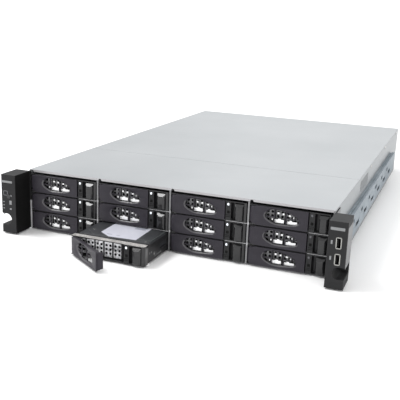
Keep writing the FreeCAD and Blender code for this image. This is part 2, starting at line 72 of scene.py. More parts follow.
def body_with(node):
    for name, group in BODIES.items():
        if node in group:
            return name
    return None


# ------------------------------------------------------------------ materials
def socket(bsdf, name, value):
    if name in bsdf.inputs:
        bsdf.inputs[name].default_value = value


def material(name, colour, rough, metal=0.0, vary=0.05, big=14.0, grain=1600.0, bump=0.02, rough_vary=0.06,
             coat=0.0, spec=0.5, stretch=(1, 1, 1), tint=None, edge=0.0, speck=0.0, bevel=0.0):
    m = bpy.data.materials.new(name)
    m.use_nodes = True
    nt = m.node_tree
    nt.nodes.clear()
    n, l = nt.nodes, nt.links
    out = n.new("ShaderNodeOutputMaterial")
    bsdf = n.new("ShaderNodeBsdfPrincipled")
    l.new(bsdf.outputs[0], out.inputs[0])
    socket(bsdf, "Metallic", metal)
    socket(bsdf, "Coat Weight", coat)
    socket(bsdf, "Coat Roughness", 0.08)
    socket(bsdf, "Specular IOR Level", spec)
    tc = n.new("ShaderNodeTexCoord")
    mp = n.new("ShaderNodeMapping")
    mp.inputs["Scale"].default_value = stretch
    l.new(tc.outputs["Object"], mp.inputs["Vector"])
    cloud = n.new("ShaderNodeTexNoise")
    cloud.inputs["Scale"].default_value = big
    cloud.inputs["Detail"].default_value = 5.0
    cloud.inputs["Roughness"].default_value = 0.6
    l.new(mp.outputs[0], cloud.inputs["Vector"])
    ramp = n.new("ShaderNodeValToRGB")
    ramp.color_ramp.elements[0].position = 0.3
    ramp.color_ramp.elements[1].position = 0.7
    lo = [c * (1 - vary) for c in colour]
    hi = [min(1.0, c * (1 + vary)) for c in (tint or colour)]
    ramp.color_ramp.elements[0].color = (*lo, 1)
    ramp.color_ramp.elements[1].color = (*hi, 1)
    l.new(cloud.outputs["Fac"], ramp.inputs["Fac"])
    colour_out = ramp.outputs["Color"]
    fine = n.new("ShaderNodeTexNoise")
    fine.inputs["Scale"].default_value = grain
    fine.inputs["Detail"].default_value = 3.0
    l.new(mp.outputs[0], fine.inputs["Vector"])
    if speck:
        sr = n.new("ShaderNodeValToRGB")
        sr.color_ramp.elements[0].position = 0.42
        sr.color_ramp.elements[0].color = (1 - speck, 1 - speck, 1 - speck, 1)
        sr.color_ramp.elements[1].position = 0.58
        sr.color_ramp.elements[1].color = (1, 1, 1, 1)
        l.new(fine.outputs["Fac"], sr.inputs["Fac"])
        mul = n.new("ShaderNodeMix")
        mul.data_type = "RGBA"
        mul.blend_type = "MULTIPLY"
        mul.inputs[0].default_value = 1.0
        l.new(colour_out, mul.inputs[6])
        l.new(sr.outputs["Color"], mul.inputs[7])
        colour_out = mul.outputs[2]
    normal = None
    if bevel:
        bv = n.new("ShaderNodeBevel")
        bv.samples = 4
        bv.inputs["Radius"].default_value = bevel
        normal = bv.outputs["Normal"]
    if edge:
        # lighter edges: where the rounded normal leaves the flat one, the colour is lighter
        edge_round = n.new("ShaderNodeBevel")
        edge_round.samples = 4
        edge_round.inputs["Radius"].default_value = 0.0009
        geo = n.new("ShaderNodeNewGeometry")
        dot = n.new("ShaderNodeVectorMath")
        dot.operation = "DOT_PRODUCT"
        l.new(edge_round.outputs["Normal"], dot.inputs[0])
        l.new(geo.outputs["Normal"], dot.inputs[1])
        er = n.new("ShaderNodeMapRange")
        er.inputs["From Min"].default_value = 0.97
        er.inputs["From Max"].default_value = 0.80
        er.inputs["To Min"].default_value = 0.0
        er.inputs["To Max"].default_value = edge
        l.new(dot.outputs["Value"], er.inputs["Value"])
        mix = n.new("ShaderNodeMix")
        mix.data_type = "RGBA"
        l.new(er.outputs["Result"], mix.inputs[0])
        l.new(colour_out, mix.inputs[6])
        mix.inputs[7].default_value = (*[min(1.0, c * 1.5 + 0.10) for c in colour], 1)
        colour_out = mix.outputs[2]
    l.new(colour_out, bsdf.inputs["Base Color"])
    rr = n.new("ShaderNodeMapRange")
    rr.inputs["To Min"].default_value = max(0.02, rough - rough_vary)
    rr.inputs["To Max"].default_value = min(1.0, rough + rough_vary)
    l.new(cloud.outputs["Fac"], rr.inputs["Value"])
    l.new(rr.outputs["Result"], bsdf.inputs["Roughness"])
    if bump:
        bp = n.new("ShaderNodeBump")
        bp.inputs["Strength"].default_value = bump
        bp.inputs["Distance"].default_value = 0.0004
        l.new(fine.outputs["Fac"], bp.inputs["Height"])
        if normal:
            l.new(normal, bp.inputs["Normal"])
        normal = bp.outputs["Normal"]
    if normal:
        l.new(normal, bsdf.inputs["Normal"])
    return m


def glow(name, colour, strength, rough=0.25):
    m = material(name, colour, rough, vary=0.03, bump=0.0, big=300.0)
    bsdf = [x for x in m.node_tree.nodes if x.type == "BSDF_PRINCIPLED"][0]
    socket(bsdf, "Emission Color", (*colour, 1))
    socket(bsdf, "Emission Strength", strength)
    return m


M = {
    "cover": material("cover_steel", (0.276, 0.290, 0.301), 0.44, metal=0.15, vary=0.02, big=5.0, grain=900.0, bump=0.10,
                      tint=(0.321, 0.333, 0.343), bevel=0.0005),
    "side": material("side_steel", (0.285, 0.30, 0.31), 0.42, metal=0.35, vary=0.04, big=7.0, grain=900.0, bump=0.08, bevel=0.0005),
    "cage": material("cage_steel", (0.20, 0.20, 0.205), 0.38, metal=0.3, vary=0.10, big=40.0, grain=900.0, bump=0.06, bevel=0.0004),
    # painted highlight: the bright strips seen through the closed levers' windows, where the top light falls on the
    # screen
    "bright": material("screen_edge_bright", (0.92, 0.92, 0.93), 0.28, metal=0.25, vary=0.03, big=90.0, grain=2400.0, bump=0.04),
    "lid": material("drive_lid", (0.085, 0.092, 0.094), 0.42, metal=0.45, vary=0.12, big=60.0, grain=1500.0, bump=0.12, edge=0.35, bevel=0.0004),
    "pcb_dim": material("drive_board", (0.22, 0.27, 0.23), 0.45, vary=0.25, big=120.0, grain=1800.0, bump=0.2, speck=0.3),
    "hem": material("cover_hem", (0.36, 0.355, 0.365), 0.30, metal=0.3, vary=0.03, big=20.0, grain=900.0, bump=0.05),
    # painted highlight: the lit front edges of the shelves, lighter than the cage steel they belong to
    "shelf": material("shelf_edge", (0.40, 0.40, 0.41), 0.34, metal=0.4, vary=0.08, big=60.0, grain=900.0, bump=0.05),
    # painted highlight: light grey on the open tray's lip top, for the top light reflected off the black lip
    "lip_painted_highlight": material("tray_lip_painted_highlight", (0.52, 0.505, 0.49), 0.34, metal=0.2, vary=0.30, big=170.0, grain=700.0, bump=0.10, speck=0.45),
    "mesh_lit": material("screen_lit", (0.15, 0.15, 0.155), 0.32, metal=0.35, vary=0.08, big=90.0, grain=2400.0, bump=0.04),
    "mesh_open": material("screen_open", (0.62, 0.62, 0.64), 0.28, metal=0.6, vary=0.30, big=260.0, grain=3000.0, bump=0.05),
    "contact": material("side_contact", (0.10, 0.10, 0.105), 0.3, metal=0.4, vary=0.1, big=90.0, bump=0.03),
    "rim": material("socket_rim", (0.26, 0.26, 0.245), 0.30, metal=0.5, vary=0.05, big=90.0, bump=0.03),
    "bracket": material("ear_bracket_steel", (0.13, 0.13, 0.135), 0.40, metal=0.4, vary=0.06, big=40.0, bump=0.05, bevel=0.0004),
    # painted highlight: the lighter arc on the lever window's bevel
    "leverrim": material("lever_rim", (0.060, 0.058, 0.063), 0.30, vary=0.06, big=80.0, grain=2400.0, bump=0.03),
    # painted light: the left hem is lighter than the rest of the hem as a painted highlight, and dark above a height as
    # a painted reflection of the dark ear
    "hemleft": material("left_hem_painted_light", (0.56, 0.56, 0.57), 0.34, metal=0.2, vary=0.06, big=40.0, grain=900.0, bump=0.05),
    "steel": material("zinc_steel", (0.52, 0.54, 0.55), 0.36, metal=0.75, vary=0.07, big=22.0, grain=700.0, bump=0.05,
                      rough_vary=0.08, bevel=0.0004),
    "tray": material("tray_black", (0.013, 0.013, 0.014), 0.42, spec=0.3, vary=0.10, big=60.0, grain=2600.0, bump=0.16, edge=0.35, bevel=0.0006),
    "lever": material("lever_black", (0.026, 0.0235, 0.030), 0.38, spec=0.2, vary=0.08, big=60.0, grain=2600.0, bump=0.12, edge=0.25),
    "gloss": material("latch_gloss", (0.012, 0.012, 0.013), 0.16, spec=0.32, vary=0.06, big=80.0, grain=1200.0, bump=0.01, coat=0.35, rough_vary=0.03),
    "ear": material("ear_plastic", (0.017, 0.017, 0.018), 0.62, spec=0.2, vary=0.10, big=45.0, grain=2400.0, bump=0.18, edge=0.30, bevel=0.0008),
    # near black: used for black parts and for painted shade in the sockets, on the left ear's inner side and behind the
    # screens
    "dark": material("black_and_painted_shade", (0.005, 0.005, 0.005), 0.7, spec=0.12, vary=0.15, big=40.0, bump=0.05),
    # painted shade: the closed trays' screen, darker than the open tray's silver screen, for the shade behind the lever
    "screen": material("screen_painted_shade", (0.17, 0.17, 0.175), 0.34, metal=0.5, vary=0.05, big=120.0, grain=3000.0, bump=0.05),
    "zinc": material("slide_zinc", (0.105, 0.152, 0.190), 0.42, metal=0.25, spec=0.3, vary=0.16, big=12.0, grain=800.0, bump=0.06,
                     tint=(0.25, 0.285, 0.315), rough_vary=0.1, bevel=0.0004),
    "nickel": material("nickel", (0.66, 0.65, 0.63), 0.24, metal=0.95, vary=0.05, big=90.0, bump=0.03, bevel=0.0003),
    "pcb": material("circuit_green", (0.012, 0.075, 0.038), 0.4, vary=0.22, big=160.0, grain=1800.0, bump=0.25, speck=0.35),
    "alu": material("fin_aluminium", (0.66, 0.67, 0.68), 0.33, metal=0.95, vary=0.04, big=60.0, grain=500.0, bump=0.06, stretch=(1, 8, 1)),
    "cast": material("drive_cast", (0.040, 0.042, 0.046), 0.48, metal=0.35, vary=0.14, big=70.0, grain=1500.0, bump=0.22, edge=0.3),
    "label": material("blank_label", (0.53, 0.535, 0.60), 0.42, vary=0.07, big=30.0, grain=1400.0, bump=0.02, coat=0.2),
    "labelink": material("label_grey", (0.30, 0.31, 0.36), 0.5, vary=0.1, big=60.0, bump=0.02),
    "lens": glow("status_lens_white", (0.86, 0.90, 0.96), 0.35),
    "lens_off": material("status_lens_off", (0.07, 0.07, 0.08), 0.2, vary=0.1, big=200.0, bump=0.0, coat=0.5),
    "plaque": material("ear_plaque", (0.20, 0.205, 0.21), 0.35, vary=0.06, big=90.0, bump=0.03, metal=0.4),
    "icon": material("icon_grey", (0.12, 0.12, 0.13), 0.5, vary=0.05, big=90.0, bump=0.0),
    "fan": material("fan_black", (0.018, 0.018, 0.02), 0.5, vary=0.12, big=50.0, bump=0.15),
    "psu": material("psu_zinc", (0.55, 0.56, 0.56), 0.36, metal=0.85, vary=0.08, big=30.0, grain=700.0, bump=0.06, bevel=0.0004),
    "slot": material("slot_beige", (0.08, 0.10, 0.22), 0.45, vary=0.1, big=90.0, bump=0.05),
}


# ------------------------------------------------------------------ mesh helpers (millimetres, tray axes)
def object_from(name, bm, mats, smooth=True):
    me = bpy.data.meshes.new(name)
    bm.normal_update()
    bm.to_mesh(me)
    bm.free()
    ob = bpy.data.objects.new(name, me)
    bpy.context.scene.collection.objects.link(ob)
    for m in mats:
        me.materials.append(m)
    if smooth:
        for p in me.polygons:
            p.use_smooth = True
        try:
            me.set_sharp_from_angle(angle=math.radians(32))
        except AttributeError:
            pass
    return ob


def add_box(bm, x0, x1, y0, y1, z0, z1, r=0.25, mat=0, seg=2):
    """A block with rounded edges."""
    made = bmesh.ops.create_cube(bm, size=1.0)
    vs = made["verts"]
    for v in vs:
        v.co = Vector(((x0 + x1) / 2 + v.co.x * (x1 - x0), (y0 + y1) / 2 + v.co.y * (y1 - y0), (z0 + z1) / 2 + v.co.z * (z1 - z0)))
    faces = {f for v in vs for f in v.link_faces}
    edges = {e for v in vs for e in v.link_edges}
    if r > 0:
        r = min(r, 0.45 * min(abs(x1 - x0), abs(y1 - y0), abs(z1 - z0)))
        res = bmesh.ops.bevel(bm, geom=list(edges), offset=r, segments=seg, profile=0.5, affect="EDGES", clamp_overlap=True)
        faces = {f for f in faces if f.is_valid} | set(res["faces"])
    for f in faces:
        f.material_index = mat
    return faces


def add_prism(bm, pts, axis, a, b, r=0.0, mat=0, seg=2):
    """A closed outline of (u, v) points drawn out along an axis from a to b."""
    def at(u, v, w):
        return {"X": Vector((w, u, v)), "Y": Vector((u, w, v)), "Z": Vector((u, v, w))}[axis]
    lo = [bm.verts.new(at(u, v, a)) for u, v in pts]
    hi = [bm.verts.new(at(u, v, b)) for u, v in pts]
    faces = [bm.faces.new(lo), bm.faces.new(list(reversed(hi)))]
    n = len(pts)
    for i in range(n):
        faces.append(bm.faces.new((lo[(i + 1) % n], lo[i], hi[i], hi[(i + 1) % n])))
    bmesh.ops.recalc_face_normals(bm, faces=faces)
    if r > 0:
        caps = set(faces[0].edges) | set(faces[1].edges)
        res = bmesh.ops.bevel(bm, geom=list(caps), offset=r, segments=seg, profile=0.5, affect="EDGES", clamp_overlap=True)
        faces = [f for f in faces if f.is_valid] + list(res["faces"])
    for f in faces:
        f.material_index = mat
    return faces


def add_rod(bm, centre, radius, length, axis="Y", seg=24, r=0.2, mat=0):
    """A cylinder from centre along +axis, with a rounded rim."""
    pts = [(radius * math.cos(2 * math.pi * i / seg), radius * math.sin(2 * math.pi * i / seg)) for i in range(seg)]
    cx, cy, cz = centre
    if axis == "Y":
        pts = [(cx + u, cz + v) for u, v in pts]
        return add_prism(bm, pts, "Y", cy, cy + length, r, mat)
    if axis == "X":
        pts = [(cy + u, cz + v) for u, v in pts]
        return add_prism(bm, pts, "X", cx, cx + length, r, mat)
    pts = [(cx + u, cy + v) for u, v in pts]
    return add_prism(bm, pts, "Z", cz, cz + length, r, mat)


def smooth_loop(points, per=6):
    """A closed curve through the points."""
    out, n = [], len(points)
    for i in range(n):
        p0, p1, p2, p3 = (Vector(points[(i + k - 1) % n]).to_3d() for k in range(4))
        for j in range(per):
            t = j / per
            q = 0.5 * ((2 * p1) + (-p0 + p2) * t + (2 * p0 - 5 * p1 + 4 * p2 - p3) * t * t + (-p0 + 3 * p1 - 3 * p2 + p3) * t ** 3)
            out.append((q.x, q.y))
    return out


def grown(loop, d):
    """The loop moved outward by d."""
    n = len(loop)
    area = sum(loop[i][0] * loop[(i + 1) % n][1] - loop[(i + 1) % n][0] * loop[i][1] for i in range(n))
    s = 1 if area > 0 else -1
    out = []
    for i in range(n):
        a, b = Vector(loop[i - 1]), Vector(loop[(i + 1) % n])
        tdir = (b - a).normalized()
        out.append((loop[i][0] + s * tdir.y * d, loop[i][1] - s * tdir.x * d))
    return out


def rounded(x0, x1, z0, z1, r, seg=6):
    """A rectangle with one radius, or four given from the lower left anticlockwise."""
    rs = r if isinstance(r, (list, tuple)) else [r] * 4
    out = []
    for (cx, cz, a0), q in zip(((x0, z0, 180), (x1, z0, 270), (x1, z1, 0), (x0, z1, 90)), rs):
        ox = cx + q if cx == x0 else cx - q
        oz = cz + q if cz == z0 else cz - q
        for i in range(seg + 1):
            a = math.radians(a0 + 90 * i / seg)
            out.append((ox + q * math.cos(a), oz + q * math.sin(a)))
    return out


def reach(loop, cx, cz, a):
    """Distance from a centre to the closed loop along the angle a."""
    dx, dz = math.cos(a), math.sin(a)
    best = 0.0
    for k in range(len(loop)):
        (x0, z0), (x1, z1) = loop[k - 1], loop[k]
        ex, ez = x1 - x0, z1 - z0
        det = ex * dz - ez * dx
        if abs(det) < 1e-12:
            continue
        t = ((x0 - cx) * -ez + (z0 - cz) * ex) / det
        u = (dx * (z0 - cz) - dz * (x0 - cx)) / det
        if -1e-9 <= u <= 1 + 1e-9 and t > best:
            best = t
    return best


def add_ring_plate(bm, outer, window, levels, steps=120, mat=0):
    """A plate in X and Z round one window.  levels run from the outer back edge over the
    front to the window's back edge: (share of the way, offset, y), share 0 = outer, 1 = window."""
    cx = sum(q[0] for q in window) / len(window)
    cz = sum(q[1] for q in window) / len(window)
    angles = sorted([2 * math.pi * k / steps - math.pi for k in range(steps)] + [math.atan2(z - cz, x - cx) for x, z in outer])
    angles = [a for k, a in enumerate(angles) if k == 0 or a - angles[k - 1] > 1e-4]
    far = [reach(outer, cx, cz, a) for a in angles]
    near = [reach(window, cx, cz, a) for a in angles]
    rings = []
    for side, off, y in levels:
        base = near if side else far
        rings.append([bm.verts.new((cx + (r + off) * math.cos(a), y, cz + (r + off) * math.sin(a))) for a, r in zip(angles, base)])
    faces, n = [], len(angles)
    for a, b in zip(rings, rings[1:] + rings[:1]):
        for k in range(n):
            m = (k + 1) % n
            faces.append(bm.faces.new((a[k], a[m], b[m], b[k])))
    bmesh.ops.recalc_face_normals(bm, faces=faces)
    for f in faces:
        f.material_index = mat


def place(ob, matrix):
    """Bakes a place into the mesh: millimetres in, metres out."""
    ob.data.transform(matrix @ Matrix.Scale(MM, 4))
    ob.data.update()


# ------------------------------------------------------------------ the drive bays
LEAF = smooth_loop([(22.3, 14.0), (23.8, 18.2), (27.0, 21.3), (31.5, 22.9), (38.0, 23.1), (45.5, 22.1), (53.7, 20.0), (60.8, 17.2),
                    (64.4, 14.4), (65.6, 11.2), (64.8, 7.9), (61.0, 6.3), (51.5, 5.4), (42.0, 5.1), (35.4, 5.4), (28.8, 7.6), (24.2, 10.6)], 4)


def span_at(loop, x):
    zs = []
    for i in range(len(loop)):
        (xa, za), (xb, zb) = loop[i], loop[(i + 1) % len(loop)]
        if (xa - x) * (xb - x) < 0:
            zs.append(za + (zb - za) * (x - xa) / (xb - xa))
    return min(zs), max(zs)


def lever_mesh():
    bm = bmesh.new()
    face = [(5.6, 1.7), (9.6, 1.7), (10.2, 0.45), (77.2, 0.45), (77.75, 1.1), (77.75, 24.9), (77.2, 25.55), (10.2, 25.55), (9.6, 24.3), (5.6, 24.3)]
    add_ring_plate(bm, face, LEAF, [(0, 0.0, -0.45), (0, 0.0, -2.4), (0, -0.4, -2.78), (1, 1.75, -2.78), (1, 1.25, -2.55), (1, 0.0, -1.2), (1, 0.0, -0.45)])
    # painted highlight: the left and lower arc of the bevel round the window takes the lighter rim colour, where light
    # catches it
    for f in bm.faces:
        c = f.calc_center_median()
        d = math.hypot((c.x - 44.0) / 22.0, (c.z - 13.6) / 9.2)
        a = math.degrees(math.atan2((c.z - 13.6) / 9.2, (c.x - 44.0) / 22.0)) % 360
        if 0.9 < d < 1.2 and -2.9 < c.y < -1.6 and 150 < a < 335 and c.z > 3.3:
            f.material_index = 1
    # hinge barrel on the pin, narrowing towards both ends
    px, py, R = 6.5, 2.2, 4.98
    profile = [(0.0, 1.5), (2.4, 1.5), (3.4, 1.9), (4.2, 2.9), (4.75, 4.4), (R, 6.4), (R, 19.6), (4.75, 21.6), (4.2, 23.1), (3.4, 24.1), (2.4, 24.5), (0.0, 24.5)]
    seg = 36
    grid = []
    for rad, z in profile:
        if rad == 0:
            grid.append([bm.verts.new((px, py, z))])
        else:
            grid.append([bm.verts.new((px + rad * math.cos(2 * math.pi * i / seg), py + rad * math.sin(2 * math.pi * i / seg), z)) for i in range(seg)])
    barrel = []
    for a, b in zip(grid, grid[1:]):
        for i in range(seg):
            j = (i + 1) % seg
            if len(a) == 1:
                barrel.append(bm.faces.new((a[0], b[j], b[i])))
            elif len(b) == 1:
                barrel.append(bm.faces.new((a[i], a[j], b[0])))
            else:
                barrel.append(bm.faces.new((a[i], a[j], b[j], b[i])))
    bmesh.ops.recalc_face_normals(bm, faces=barrel)
    add_rod(bm, (px, py, 0.3), 1.0, 25.4, "Z", 16, 0.15)
    # grip lines low on the hinge end
    for z in (6.4, 8.6, 10.8, 13.0):
        add_box(bm, 8.0, 14.5, -2.79, -2.1, z, z + 0.9, 0.3)
    # top and bottom rims
    add_box(bm, 6.5, 77.6, -1.6, 3.45, 1.55, 2.9, 0.25)
    add_box(bm, 6.5, 77.6, -1.6, 3.45, 23.1, 24.45, 0.25)
    # return lip and its hook at the free end
    add_box(bm, 76.0, 77.75, -2.2, 7.1, 2.2, 23.8, 0.35)
    add_box(bm, 73.8, 76.6, 5.4, 7.1, 8.0, 18.0, 0.3)
    add_box(bm, 70.0, 76.4, -0.8, 0.8, 2.6, 23.4, 0.2)
    # bars across the window
    for x in (34.4, 49.8):
        lo, hi = span_at(LEAF, x)
        add_box(bm, x - 0.65, x + 0.65, -2.0, -0.6, lo - 0.4, hi + 0.4, 0.3)
    add_box(bm, 22.2, 34.4, -1.9, -0.6, 13.0, 14.2, 0.3)
    add_box(bm, 49.8, 65.4, -1.5, -0.6, 13.2, 14.2, 0.25)
    return bm


def latch_mesh():
    """The convex release column with a sloped face at its top."""
    bm = bmesh.new()
    x0, x1, back = 91.05, 102.95, 3.9
    levels = [(1.55, 1.2), (1.8, 0.6), (2.4, 0.15), (3.4, 0.0), (12.0, 0.0), (19.0, 0.0), (19.6, 0.0), (20.2, 0.0), (20.8, 0.0),
              (21.4, 0.0), (22.0, 0.0), (22.6, 0.0), (23.2, 0.0), (23.7, 0.0), (24.1, 0.3), (24.45, 0.9)]
    seg = 28
    rows = []
    for z, inset in levels:
        row = []
        for i in range(seg + 1):
            t = i / seg
            bulge = 4.1 * (1 - abs(2 * t - 1) ** 4.5) ** 0.55
            y = -0.06 - max(bulge - inset, 0.0)
            y = max(y, -4.16 + max(0.0, z - 19.5) + (0.6 if z > 24 else 0.0))
            row.append(bm.verts.new((x0 + (x1 - x0) * t, min(y, back - 0.3), z)))
        row.append(bm.verts.new((x1, back, z)))
        row.append(bm.verts.new((x0, back, z)))
        rows.append(row)
    faces = []
    for a, b in zip(rows, rows[1:]):
        for i in range(len(a)):
            j = (i + 1) % len(a)
            faces.append(bm.faces.new((a[i], a[j], b[j], b[i])))
    faces.append(bm.faces.new(rows[0]))
    faces.append(bm.faces.new(list(reversed(rows[-1]))))
    bmesh.ops.recalc_face_normals(bm, faces=faces)
    for z in (5.0, 7.6):
        add_box(bm, 92.4, 101.4, -4.05, -2.6, z, z + 0.7, 0.3)
    return bm


def screen_mesh(hole_y=5.6, front=None):
    """Perforated sheet: two columns of three round holes in each cell."""
    bm = bmesh.new()
    y = hole_y if front is None else front
    seg = 12
    for k in range(5):
        xa, xb = 8.9 + 13 * k, 20.1 + 13 * k
        cells = []
        z0 = 2.9
        for j, h in enumerate((2.2, 5.4, 5.4, 5.4, 1.8)):
            cells.append((xa, xb, z0, z0 + h, j))
            z0 += h
        for (a, b, lo, hi, j) in cells:
            if j in (0, 4):
                bm.faces.new([bm.verts.new((x, y, z)) for x, z in ((a, lo), (b, lo), (b, hi), (a, hi))])
                continue
            mid = (a + b) / 2
            for (c0, c1, rad) in ((a, mid, 1.85), (mid, b, 1.85)):
                cx = (c0 + c1) / 2
                rows = [(lo, hi)]
                for l2, h2 in rows:
                    cz = (l2 + h2) / 2
                    box = [(c0, l2), (c1, l2), (c1, h2), (c0, h2)]
                    angs = sorted([2 * math.pi * q / seg - math.pi for q in range(seg)] + [math.atan2(z - cz, x - cx) for x, z in box])
                    angs = [q for n, q in enumerate(angs) if n == 0 or q - angs[n - 1] > 1e-4]
                    out = [bm.verts.new((cx + reach(box, cx, cz, q) * math.cos(q), y, cz + reach(box, cx, cz, q) * math.sin(q))) for q in angs]
                    inn = [bm.verts.new((cx + rad * math.cos(q), y, cz + rad * math.sin(q))) for q in angs]
                    for n in range(len(angs)):
                        m = (n + 1) % len(angs)
                        bm.faces.new((out[n], out[m], inn[m], inn[n]))
    bmesh.ops.remove_doubles(bm, verts=bm.verts[:], dist=1e-4)
    bmesh.ops.recalc_face_normals(bm, faces=bm.faces[:])
    for f in bm.faces:
        if f.normal.y > 0:
            f.normal_flip()
    bmesh.ops.solidify(bm, geom=bm.faces[:], thickness=0.35)
    return bm


def screen_ribs():
    """The black ribs between the screen's cells, running back to the tray's front wall."""
    bm = bmesh.new()
    for k in range(6):
        x = 8.0 + 13 * k
        add_box(bm, x - 1.15, x + 1.15, 4.6, 7.55, 2.6, 23.4, 0.25)
    return bm


def lens_mesh():
    """The status lens of a tray."""
    bm = bmesh.new()
    add_prism(bm, rounded(80.5, 83.2, 20.0, 23.3, 1.3, 5), "Y", -1.45, 0.4, 0.3, 0)
    return bm


def lens_low_mesh():
    bm = bmesh.new()
    add_prism(bm, rounded(80.6, 84.2, 9.4, 13.2, 0.7, 4), "Y", -1.12, 0.4, 0.08, 0)
    for z in (4.6, 7.0):
        add_box(bm, 79.2, 85.2, -1.25, 0.0, z, z + 0.8, 0.25)
    return bm


TRAYS = []
for node in sorted(NODES):
    if node.startswith("tray_r") or node == "tray_carrier":
        lo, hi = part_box(node)
        origin = Matrix.Translation(Vector((lo[0] - 1.6 * MM, lo[1] + 1.0 * MM, lo[2])))
        tag = "open" if node == "tray_carrier" else node[5:]
        TRAYS.append((tag, node, origin))

lever_src = lever_mesh()
latch_src = latch_mesh()
screen_src = screen_mesh(front=5.0)
rib_src = screen_ribs()
lens_src = lens_mesh()
lens_low_src = lens_low_mesh()


def strip_mesh():
    """Painted highlight: bright strips and small dots seen through the lever's window, standing for the lit lower part
    of the screen and lit rib tops.
    """
    bm = bmesh.new()
    add_box(bm, 34.6, 46.4, 0.7, 1.3, 5.9, 10.4, 0.5, 0)
    add_box(bm, 39.0, 42.4, 0.72, 1.3, 9.8, 11.6, 0.5, 0)
    add_box(bm, 50.6, 63.6, 0.7, 1.3, 5.7, 9.6, 0.5, 0)
    add_box(bm, 53.6, 57.0, 0.72, 1.3, 9.0, 10.8, 0.5, 0)
    # small dots in the dim lit finish: painted highlights on the rib tops
    for x, z, w in ((38.8, 18.6, 1.5), (45.4, 18.0, 1.3), (53.6, 16.8, 1.5), (58.6, 14.6, 0.9), (31.4, 9.6, 0.9)):
        add_box(bm, x - w, x + w, 0.8, 1.3, z - 1.25, z + 1.25, 0.6, 1)
    return bm


def put(name, bm, mats, where, body, smooth=True):
    ob = object_from(name, bm, mats, smooth=smooth)
    place(ob, where)
    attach(ob, body)
    return ob


strip_src = strip_mesh()
for tag, node, origin in TRAYS:
    tray_body = body_with(node)
    lever_node = "tray_lever" if tag == "open" else "lever_" + tag
    latch_node = "tray_latch" if tag == "open" else "latch_" + tag
    where = origin
    if tag == "open":
        turn = math.radians(JOINTS["lever_open_hinge"]["range_deg"][0])
        pivot = Vector(JOINTS["lever_open_hinge"]["pos_m"])
        pivot.z = 0
        spin = Matrix.Translation(pivot) @ Matrix.Rotation(turn, 4, "Z") @ Matrix.Translation(-pivot)
        where = spin @ origin
    ob = put("lever_shell_" + tag, lever_src.copy(), [M["lever"], M["leverrim"]], where, body_with(lever_node))
    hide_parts(lever_node)
    ob = put("latch_column_" + tag, latch_src.copy(), [M["gloss"]], origin, body_with(latch_node))
    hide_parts(latch_node)
    # the open tray shows the screen's own silver; the closed trays get the darker copy as painted shade
    put("screen_" + tag, screen_src.copy(), [M["mesh_open"] if tag == "open" else M["screen"]], origin, tray_body, smooth=False)
    put("screen_ribs_" + tag, rib_src.copy(), [M["tray"]], origin, tray_body)
    if tag != "open":
        # closed trays: painted highlight strips behind the lever window
        put("screen_edge_" + tag, strip_src.copy(), [M["bright"], M["mesh_lit"]], origin, tray_body)
    put("lens_" + tag, lens_src.copy(), [M["lens_off"] if tag.endswith("c4") else M["lens"]], origin, tray_body)
    put("lens_low_" + tag, lens_low_src.copy(), [M["dark"]], origin, tray_body)


def drive_mesh():
    """The open bay's drive: a casting with a stepped top, a board edge and a blank label."""
    bm = bmesh.new()
    add_box(bm, 3.75, 105.25, 17.55, 164.45, 0.5, 24.6, 0.8, 0, 3)
    # raised lid with a cut corner, and its screws
    lid = [(8.0, 34.0), (24.0, 18.6), (100.0, 18.6), (103.6, 22.0), (103.6, 158.0), (100.0, 163.4), (9.0, 163.4), (6.0, 160.0)]
    add_prism(bm, lid, "Z", 24.3, 25.45, 0.25, 1)
    add_prism(bm, [(28.2, 31.5), (45.5, 17.9 + 1.2), (84.2, 21.6), (82.6, 92.0), (27.6, 92.0)], "Z", 25.4, 25.58, 0.0, 2)
    # blank printed marks: plain bars
    for x0, x1, y0, y1 in ((39.0, 46.5, 26.6, 29.2), (53.0, 58.0, 27.0, 28.8), (33.0, 70.0, 84.0, 86.4), (33.0, 58.0, 78.5, 80.2), (62.0, 78.0, 62.0, 70.0)):
        add_box(bm, x0, x1, y0, y1, 25.5, 25.62, 0.0, 3)
    # strip of board and the ribs of the casting on the right
    add_box(bm, 85.6, 103.2, 26.0, 96.0, 25.3, 25.7, 0.1, 4)
    for y in range(100, 160, 9):
        add_box(bm, 60.0, 98.0, y, y + 3.0, 25.3, 25.72, 0.2, 1)
    for x, y in ((14.0, 40.0), (14.0, 98.0), (98.5, 22.4), (98.5, 158.0), (14.0, 156.0), (56.0, 158.0)):
        add_rod(bm, (x, y, 25.3), 2.1, 0.46, "Z", 20, 0.12, 5)
    add_rod(bm, (54.0, 122.0, 25.3), 16.0, 0.36, "Z", 48, 0.15, 1)
    for x in (106.6, 2.0):
        for y in (34.0, 136.0):
            add_rod(bm, (x, y, 6.8), 3.0, 0.4, "X", 24, 0.12, 5)
    return bm


ob = put("drive_detail_open", drive_mesh(), [M["cast"], M["lid"], M["label"], M["labelink"], M["pcb_dim"], M["nickel"]],
         [w for t, n, w in TRAYS if t == "open"][0], body_with("tray_drive"))
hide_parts("tray_drive")


# ------------------------------------------------------------------ ear details (frame millimetres; the ears face -Y at -386)
def ear_part(name, build, mats):
    bm = bmesh.new()
    build(bm)
    ob = object_from(name, bm, mats)
    place(ob, Matrix.Identity(4))
    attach(ob, "chassis")
    return ob


EAR = -386.0


def frame_loop(bm, x0, x1, z0, z1, r, w, y0, y1, mat=0):
    """A thin upright frame: a rounded rectangle with a rounded window."""
    add_ring_plate(bm, rounded(x0, x1, z0, z1, r, 5), rounded(x0 + w, x1 - w, z0 + w, z1 - w, max(0.2, r - w), 5),
                   [(0, 0.0, y1), (0, 0.0, y0), (1, 0.0, y0), (1, 0.0, y1)], 48, mat)


